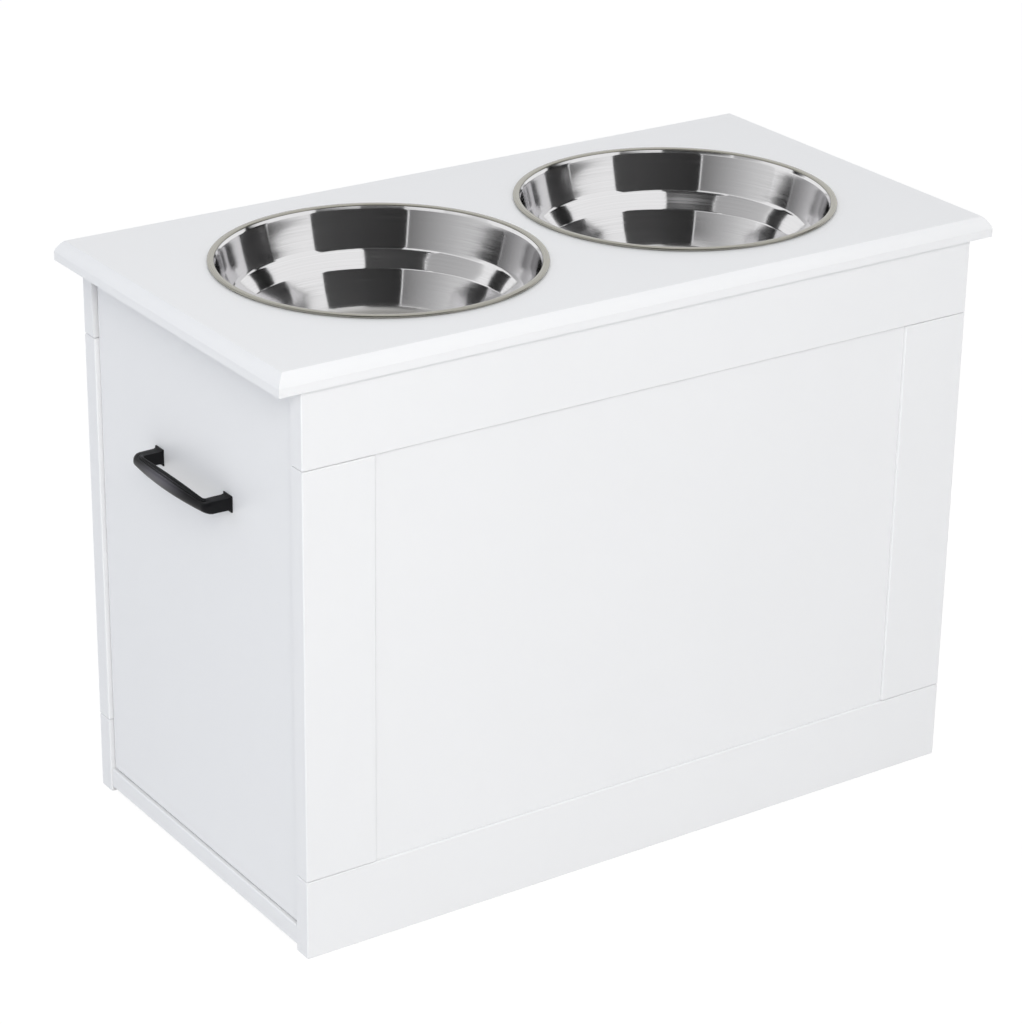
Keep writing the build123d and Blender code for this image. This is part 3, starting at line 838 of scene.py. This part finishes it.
# ---- pull ---------------------------------------------------------------------------------------
@dataclass
class Pull:
    """A cast pull: flared feet, square posts, and a bowed grip that swells to its middle.

    Its beads are a section's corners from the back to the round face, each as a share of the
    section's depth and of its height.
    """

    reach: float = 20.4 * MM
    bow: float = 3.6 * MM
    post_width: float = 9.0 * MM
    post_height: float = 9.2 * MM
    grip_back: float = 16.6 * MM
    grip_end_height: float = 9.2 * MM
    grip_height: float = 11.6 * MM
    foot_width: float = 11.5 * MM
    foot_flare: float = 2.8 * MM
    foot_trim: float = 0.8 * MM
    foot_plate: float = 0.8 * MM
    foot_neck: float = 1.06
    corner: float = 6.0 * MM
    beads: tuple = (
        (0.0, 0.93), (0.07, 1.0), (0.20, 1.0), (0.30, 0.93), (0.27, 0.84),
        (0.36, 0.865), (0.46, 0.82), (0.48, 0.76), (0.45, 0.69), (0.53, 0.71),
    )
    foot_power: float = 16.0
    neck_power: float = 12.0
    post_power: float = 9.0
    bend_power: float = 6.0
    grip_power: float = 2.2
    nose_points: int = 6
    grip_stations: int = 28
    corner_stations: int = 7

    def __post_init__(self) -> None:
        """Take the pull's place from its CAD node."""
        low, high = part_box("handle")
        self.face_x = high.x
        self.middle_z = (low.z + high.z) / 2
        self.foot_height = high.z - low.z - self.foot_trim
        self.half = (high.y - low.y) / 2 - (self.foot_width - self.post_width) / 2
        self.middle_y = (low.y + high.y) / 2

    def outer_reach(self, along: float) -> float:
        """How far the grip's face stands out at a place along it."""
        return self.reach + self.bow * (1 - (along / self.half) ** 2)

    def swell(self, along: float) -> float:
        """Height of the grip's face at a place along it."""
        lost = (self.grip_height - self.grip_end_height) * (along / self.half) ** 2
        return self.grip_height - lost

    def stations(self) -> list[tuple]:
        """Sections from the left foot to the right one.

        Returns:
            For each, the inner and the outer edge of the arch in plan, as (along, out), then its
            height, the share of its beads, and the power of its rounded face: 2 is an ellipse and
            a high power is nearly square.
        """
        half, low, foot = self.half, self.post_height, self.foot_height
        inner = half - self.post_width
        spare = (self.foot_width - self.post_width) / 2
        plate, flare, bend = self.foot_plate, self.foot_flare, self.corner
        rising = [
            ((inner - spare, 0.0), (half + spare, 0.0), foot, 0.0, self.foot_power),
            ((inner - spare, plate), (half + spare, plate), foot, 0.0, self.foot_power),
            (
                (inner - spare / 4, flare / 2), (half + spare / 4, flare / 2),
                low * self.foot_neck, 0.0, self.neck_power,
            ),
            ((inner, flare), (half, flare), low, 0.0, self.post_power),
            (
                (inner, self.grip_back - bend / 2), (half, self.reach - bend),
                low, 0.0, self.bend_power,
            ),
        ]
        bend_reach = self.outer_reach(half - bend)
        for step in range(1, self.corner_stations + 1):
            turn = math.pi / 2 * step / self.corner_stations
            grown, drawn = math.sin(turn), 1 - math.cos(turn)
            outer = (half - bend * drawn, bend_reach - bend * (1 - grown))
            inside = (inner - bend / 2 * drawn, self.grip_back - bend / 2 * (1 - grown))
            height = low + (self.swell(outer[0]) - low) * grown
            power = self.bend_power + (self.grip_power - self.bend_power) * grown
            rising.append((inside, outer, height, grown, power))
        start = rising[-1]
        count = self.grip_stations
        grip = []
        for step in range(1, count):
            share = 1 - 2 * step / count
            outside, inside = start[1][0] * share, start[0][0] * share
            grip.append((
                (inside, self.grip_back), (outside, self.outer_reach(outside)),
                self.swell(outside), 1.0, self.grip_power,
            ))
        falling = [((-a[0], a[1]), (-b[0], b[1]), *rest) for a, b, *rest in reversed(rising)]
        return rising + grip + falling

    def section(self, station: tuple) -> list[Vector]:
        """Corner points of one section: two stepped beads, then the round face.

        Args:
            station: a section as stations gives it.

        Returns:
            The points in order round the section, in the part's frame.
        """
        inner, outer, height, detail, power = station
        inside = Vector((self.face_x - inner[1], self.middle_y + inner[0], self.middle_z))
        outside = Vector((self.face_x - outer[1], self.middle_y + outer[0], self.middle_z))
        across = outside - inside
        flank = [(out, height * (1 + (tall - 1) * detail)) for out, tall in self.beads]
        nose, full = self.beads[-1][0], flank[-1][1]
        for step in range(1, self.nose_points + 1):
            turn = math.pi / 2 * step / self.nose_points
            out = nose + (1 - nose) * math.sin(turn) ** (2 / power)
            flank.append((out, full * max(math.cos(turn), 0.0) ** (2 / power)))
        upper = [inside + across * out + Vector((0, 0, tall / 2)) for out, tall in flank]
        flank.pop()
        lower = [inside + across * out - Vector((0, 0, tall / 2)) for out, tall in reversed(flank)]
        return upper + lower

    def build(self, black: bpy.types.Material) -> bpy.types.Object:
        """Model the pull and put it in its CAD node's place.

        Args:
            black: the cast finish, with its painted highlight.

        Returns:
            The piece.
        """
        bm = bmesh.new()
        stations = self.stations()
        ring = [bm.verts.new(point) for point in self.section(stations[0])]
        loop = [bm.edges.new(pair) for pair in zip(ring, ring[1:] + ring[:1])]
        bmesh.ops.contextual_create(bm, geom=loop)
        for station in stations[1:]:
            grown = bmesh.ops.extrude_edge_only(bm, edges=loop)["geom"]
            moved = {item for item in grown if isinstance(item, bmesh.types.BMVert)}
            ring = [self.partner(vertex, moved) for vertex in ring]
            loop = [
                item for item in grown
                if isinstance(item, bmesh.types.BMEdge) and moved.issuperset(item.verts)
            ]
            for vertex, point in zip(ring, self.section(station)):
                vertex.co = point
        bmesh.ops.contextual_create(bm, geom=loop)
        bmesh.ops.recalc_face_normals(bm, faces=bm.faces)
        piece = finish_piece(bm, "pull_cast", (black,))
        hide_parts("handle")
        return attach(piece, "drawer")

    @staticmethod
    def partner(vertex: bmesh.types.BMVert, moved: set) -> bmesh.types.BMVert:
        """The vertex among the moved ones that an extrusion grew out of this one."""
        ends = (edge.other_vert(vertex) for edge in vertex.link_edges)
        return next(end for end in ends if end in moved)


# ---- studio -------------------------------------------------------------------------------------
PURE_WHITE = (1.0, 1.0, 1.0, 1.0)


@dataclass(frozen=True)
class Card:
    """An upright reflector or flag round the object, seen only in reflections.

    Its ends are degrees round the part, its foot and head are degrees above a bowl, and its
    brightness runs evenly from its start to its end.
    """

    start: float
    end: float
    level: float
    far_level: float
    foot: float = -12.0
    head: float = 30.0
    feather: float = 0.06


@dataclass(frozen=True)
class Softbox:
    """A round softbox.

    Its way points from the object to it, its light is what it throws on the object in watts a
    square metre, and its spread is how wide it looks from there in degrees.
    """

    name: str
    way: tuple
    distance: float
    light: float
    spread: float
    colour: tuple


@dataclass
class Studio:
    """Floor, background, lamps, cards and camera."""

    camera_place: tuple = (-1.27812, -1.84111, 1.19755)
    camera_target: tuple = (-0.01065, 0.00604, 0.21462)
    camera_roll: float = 0.884
    focal_pixels: float = 3305.3
    image_height: int = 1024
    sensor_width: float = 36.0
    clip: tuple = (0.05, 60.0)
    ambient: float = 0.66
    ambient_colour: tuple = (0.972, 0.986, 1.012)
    lamp_aim: float = 0.22
    floor_shade: float = 0.75
    floor_glow: float = 1.10
    floor_glow_share: float = 0.84
    floor_size: float = 12.0
    ring_radius: float = 2.4
    ring_height: float = 0.42
    card_columns: int = 16
    card_rows: int = 12
    softboxes: tuple = (
        Softbox("key_softbox", (-0.453, -0.713, 0.533), 3.6, 1.43, 28.0, (1.0, 0.99, 0.965)),
        Softbox("cool_fill", (-0.95, 0.1, 0.2), 4.0, 0.21, 60.0, (0.35, 0.58, 1.0)),
    )
    cards: tuple = (
        Card(214.6, 286.0, 0.028, 0.07, foot=-14.0, head=40.0, feather=0.008),
        Card(213.9, 214.7, 1.0, 1.0, foot=-14.0, head=30.0, feather=0.1),
        Card(150.0, 214.0, 0.85, 0.20, foot=-14.0, head=30.0, feather=0.005),
        Card(286.0, 324.0, 0.30, 0.15, foot=-14.0, head=6.0, feather=0.03),
        Card(324.0, 350.0, 0.015, 0.015, foot=-14.0, head=23.0),
        Card(346.0, 364.0, 0.015, 0.015, foot=20.0, head=44.0),
        Card(112.0, 127.0, 0.03, 0.03, foot=18.0, head=44.0),
        Card(184.0, 250.0, 0.05, 0.05, foot=40.0, head=65.0, feather=0.03),
        Card(128.0, 184.0, 0.60, 0.42, foot=34.0, head=80.0, feather=0.03),
    )

    def build(self) -> None:
        """Set the whole studio up."""
        self.add_world()
        self.add_floor()
        for box in self.softboxes:
            self.add_softbox(box)
        for number, card in enumerate(self.cards):
            self.add_card(number, card)
        self.add_camera()

    @staticmethod
    def seen_directly(graph: Graph) -> Socket:
        """A mask of the rays that show a background: the camera's, and mirrors' and glass's.

        Args:
            graph: the graph that gets the nodes.

        Returns:
            The mask.
        """
        path = graph.add("LightPath")
        either = graph.add("Math", operation="MAXIMUM")
        any_of = graph.add("Math", operation="MAXIMUM")
        graph.link(path.outputs["Is Camera Ray"], either.inputs[0])
        graph.link(path.outputs["Is Glossy Ray"], either.inputs[1])
        graph.link(either.outputs["Value"], any_of.inputs[0])
        graph.link(path.outputs["Is Transmission Ray"], any_of.inputs[1])
        return any_of.outputs["Value"]

    def add_world(self) -> None:
        """Even white light, and a white background for the camera and for reflections."""
        world = bpy.data.worlds.new("studio")
        bpy.context.scene.world = world
        world.use_nodes = True
        world.node_tree.nodes.clear()
        graph = Graph(world.node_tree)
        seen = graph.add("Background", Color=PURE_WHITE, Strength=1.0)
        light = graph.add("Background", Color=(*self.ambient_colour, 1.0), Strength=self.ambient)
        direct = self.seen_directly(graph)
        mixed = mix_shaders(
            graph, direct, light.outputs["Background"], seen.outputs["Background"]
        )
        graph.link(mixed, graph.add("OutputWorld").inputs["Surface"])

    def add_floor(self) -> None:
        """A wide white floor that keeps a soft shadow."""
        bm = bmesh.new()
        bmesh.ops.create_grid(bm, x_segments=1, y_segments=1, size=self.floor_size)
        material, graph = start_material("studio_floor")
        matt = graph.add("BsdfDiffuse", Color=(*[self.floor_shade] * 3, 1.0))
        glow = graph.add("Emission", Color=PURE_WHITE, Strength=self.floor_glow)
        share = graph.add("Math", operation="MULTIPLY")
        share.inputs[1].default_value = self.floor_glow_share
        graph.link(self.seen_directly(graph), share.inputs[0])
        mixed = mix_shaders(
            graph, share.outputs["Value"], matt.outputs["BSDF"], glow.outputs["Emission"]
        )
        close_material(graph, mixed)
        finish_piece(bm, "studio_floor", (material,))

    def add_softbox(self, box: Softbox) -> None:
        """Hang one softbox.

        Args:
            box: its name, place, light and colour.
        """
        data = bpy.data.lights.new(box.name, "AREA")
        data.shape = "DISK"
        data.size = 2 * box.distance * math.tan(math.radians(box.spread / 2))
        data.energy, data.color = box.light * math.pi * box.distance ** 2, box.colour
        way = Vector(box.way).normalized()
        lamp = bpy.data.objects.new(box.name, data)
        lamp.location = Vector((0, 0, self.lamp_aim)) + way * box.distance
        lamp.rotation_mode = "QUATERNION"
        lamp.rotation_quaternion = (-way).to_track_quat("-Z", "Y")
        lamp.visible_glossy = False
        bpy.context.scene.collection.objects.link(lamp)

    def add_card(self, number: int, card: Card) -> None:
        """Bend one card round the object, with its edges fading out.

        Args:
            number: its number, for its name.
            card: its ends and its brightness.
        """
        bm = bmesh.new()
        start, sweep = math.radians(card.start), math.radians(card.end - card.start)
        foot, rise = math.radians(card.foot), math.radians(card.head - card.foot)
        middle = Vector((0, 0, self.ring_height))
        edge = []
        for row in range(self.card_rows + 1):
            lift = foot + rise * row / self.card_rows
            level = Vector((math.cos(start), math.sin(start), 0)) * math.cos(lift)
            way = level + Vector((0, 0, math.sin(lift)))
            edge.append(bm.verts.new(middle + way * self.ring_radius))
        edges = [bm.edges.new(pair) for pair in zip(edge, edge[1:])]
        bmesh.ops.spin(
            bm, geom=edge + edges, cent=(0, 0, 0), axis=(0, 0, 1), dvec=(0, 0, 0),
            angle=sweep, steps=self.card_columns, use_merge=False, use_duplicate=False,
        )
        layer = bm.loops.layers.uv.new("card")
        slack = 0.01
        for face in bm.faces:
            for loop in face.loops:
                spot = loop.vert.co - middle
                turn = (math.atan2(spot.y, spot.x) - start + slack) % math.tau - slack
                lift = math.asin(spot.z / self.ring_radius)
                loop[layer].uv = (turn / sweep, (lift - foot) / rise)
        piece = finish_piece(bm, f"card_{number}", (self.card_material(number, card),))
        piece.visible_camera = piece.visible_diffuse = piece.visible_shadow = False
        piece.visible_transmission = piece.visible_volume_scatter = False

    @staticmethod
    def card_material(number: int, card: Card) -> bpy.types.Material:
        """A glow that runs from one brightness to another and fades out at the edges.

        Args:
            number: the card's number, for the material's name.
            card: its brightness and its feather, as a share of its size.

        Returns:
            The material.
        """
        material, graph = start_material(f"card_{number}")
        place = graph.add("UVMap", uv_map="card")
        split = graph.add("SeparateXYZ")
        graph.link(place.outputs["UV"], split.inputs["Vector"])
        run = graph.add("MapRange", To_Min=card.level, To_Max=card.far_level)
        graph.link(split.outputs["X"], run.inputs["Value"])
        glow = graph.add("Emission", Color=PURE_WHITE)
        graph.link(run.outputs["Result"], glow.inputs["Strength"])
        covers = []
        for axis in ("X", "Y"):
            folded = graph.add("Math", operation="PINGPONG")
            folded.inputs[1].default_value = 0.5
            cover = graph.add("MapRange", interpolation_type="SMOOTHSTEP", From_Max=card.feather)
            graph.link(split.outputs[axis], folded.inputs[0])
            graph.link(folded.outputs["Value"], cover.inputs["Value"])
            covers.append(cover)
        both = graph.add("Math", operation="MULTIPLY")
        for cover, socket in zip(covers, both.inputs):
            graph.link(cover.outputs["Result"], socket)
        clear = graph.add("BsdfTransparent")
        mixed = mix_shaders(
            graph, both.outputs["Value"], clear.outputs["BSDF"], glow.outputs["Emission"]
        )
        close_material(graph, mixed)
        return material

    def add_camera(self) -> None:
        """Place the camera."""
        data = bpy.data.cameras.new("camera")
        data.sensor_fit = "AUTO"
        data.sensor_width = self.sensor_width
        data.lens = self.focal_pixels / self.image_height * data.sensor_width
        data.clip_start, data.clip_end = self.clip
        camera = bpy.data.objects.new("camera", data)
        camera.location = self.camera_place
        aim = Vector(self.camera_target) - Vector(self.camera_place)
        camera.rotation_mode = "QUATERNION"
        level = aim.to_track_quat("-Z", "Y")
        camera.rotation_quaternion = level @ Quaternion((0, 0, 1), math.radians(self.camera_roll))
        bpy.context.scene.collection.objects.link(camera)
        bpy.context.scene.camera = camera


def main() -> None:
    """Build the feeder's looks and its studio."""
    logging.basicConfig(level=logging.INFO, format="%(name)s %(message)s")
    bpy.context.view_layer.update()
    bpy.context.scene.view_settings.view_transform = "Standard"
    materials = dress_by_slot()
    # The rim's darker olive colour is painted reflection.
    rim = RIM_STEEL_PAINTED_REFLECTION.material()
    for side in Side:
        Bowl(side).build(materials["bowl_steel"], rim)
    Pull().build(materials["black_cast"])
    Studio().build()


if __name__ == "__main__":
    main()
